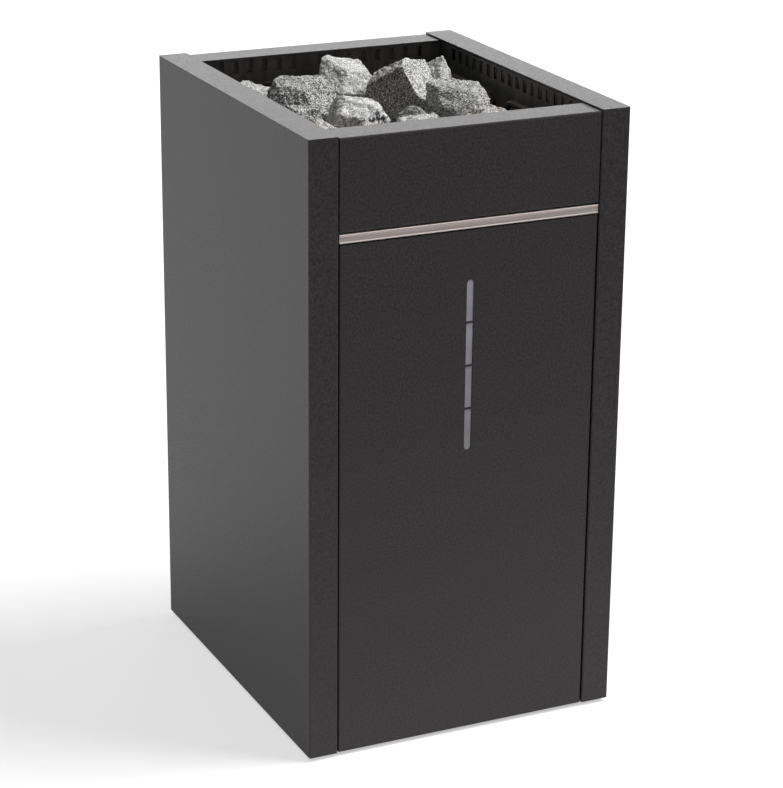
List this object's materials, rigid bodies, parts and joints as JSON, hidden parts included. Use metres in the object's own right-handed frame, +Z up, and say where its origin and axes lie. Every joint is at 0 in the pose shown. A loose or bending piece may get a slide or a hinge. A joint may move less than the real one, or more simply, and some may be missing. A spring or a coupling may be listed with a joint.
{
  "type": "sauna heater stove",
  "caption": "Free-standing electric sauna heater: dark steel cabinet with an open top full of stones, a bright trim strip, and a hinged front door with a slim vertical light window.",
  "frame": {"origin": "on the floor, under the middle of the casing", "axes": "+Z up, -Y out of the front door, +X to the right seen from the front"},
  "size_m": [0.4, 0.465, 0.7623],
  "materials": {
    "coat": "satin",
    "trim_steel": "satin",
    "zinc_steel": "satin",
    "pin_steel": "satin",
    "foot_steel": "satin",
    "liner_steel": "matte",
    "grate_iron": "matte",
    "element_steel": "matte",
    "frosted_plastic": "satin",
    "board": "satin",
    "magnet": "matte",
    "black_plastic": "matte",
    "black_rubber": "matte",
    "red_plastic": "gloss",
    "capillary_metal": "satin",
    "terminal_ceramic": "satin",
    "stone": "matte"
  },
  "bodies": {
    "cabinet": {"left_side_panel": "coat", "right_side_panel": "coat", "rear_panel": "coat", "front_fascia": "coat", "trim_strip": "trim_steel", "front_rail": "zinc_steel", "base_plate": "zinc_steel", "front_inner_plate": "zinc_steel", "rear_inner_plate": "zinc_steel", "left_inner_plate": "zinc_steel", "right_inner_plate": "zinc_steel", "upper_hinge_bracket": "zinc_steel", "lower_hinge_bracket": "zinc_steel", "light_housing": "zinc_steel", "grate_rail_left": "zinc_steel", "grate_rail_right": "zinc_steel", "element_bar_left": "zinc_steel", "element_bar_right": "zinc_steel", "element_bar_rear": "zinc_steel", "terminal_box": "zinc_steel", "terminal_box_cover": "zinc_steel", "liner_front": "liner_steel", "liner_rear": "liner_steel", "liner_left": "liner_steel", "liner_right": "liner_steel", "stone_grate": "grate_iron", "heating_element_left": "element_steel", "heating_element_right": "element_steel", "heating_element_rear": "element_steel", "light_board": "board", "catch_magnet": "magnet", "overheat_limiter": "black_plastic", "cable_gland": "black_plastic", "cable_grommet": "black_rubber", "limiter_capillary": "capillary_metal", "terminal_block": "terminal_ceramic", "stone_bed": "stone", "top_stone_01": "stone", "top_stone_02": "stone", "top_stone_03": "stone", "top_stone_04": "stone", "top_stone_05": "stone", "top_stone_06": "stone", "top_stone_07": "stone", "top_stone_08": "stone", "top_stone_09": "stone", "top_stone_10": "stone", "top_stone_11": "stone", "top_stone_12": "stone", "top_stone_13": "stone", "top_stone_14": "stone"},
    "door": {"front_door": "coat", "light_diffuser": "frosted_plastic", "upper_hinge_pin": "pin_steel", "lower_hinge_pin": "pin_steel"},
    "reset_button": {"limiter_button": "red_plastic"},
    "foot_front_left_body": {"foot_front_left": "foot_steel"},
    "foot_front_right_body": {"foot_front_right": "foot_steel"},
    "foot_rear_left_body": {"foot_rear_left": "foot_steel"},
    "foot_rear_right_body": {"foot_rear_right": "foot_steel"}
  },
  "joints": [
    {"name": "door_hinge", "type": "hinge", "parent": "cabinet", "child": "door", "pos_m": [0.1465, -0.2253, 0.3], "axis": [0, 0, 1], "range_deg": [0, 105]},
    {"name": "reset_press", "type": "slide", "parent": "cabinet", "child": "reset_button", "axis": [0, 1, 0], "range_m": [0, 0.003], "stiffness_N_per_m": 800, "springref_m": -0.002},
    {"name": "foot_front_left_thread", "type": "slide", "parent": "cabinet", "child": "foot_front_left_body", "axis": [0, 0, -1], "range_m": [0, 0.012]},
    {"name": "foot_front_right_thread", "type": "slide", "parent": "cabinet", "child": "foot_front_right_body", "axis": [0, 0, -1], "range_m": [0, 0.012]},
    {"name": "foot_rear_left_thread", "type": "slide", "parent": "cabinet", "child": "foot_rear_left_body", "axis": [0, 0, -1], "range_m": [0, 0.012]},
    {"name": "foot_rear_right_thread", "type": "slide", "parent": "cabinet", "child": "foot_rear_right_body", "axis": [0, 0, -1], "range_m": [0, 0.012]}
  ]
}
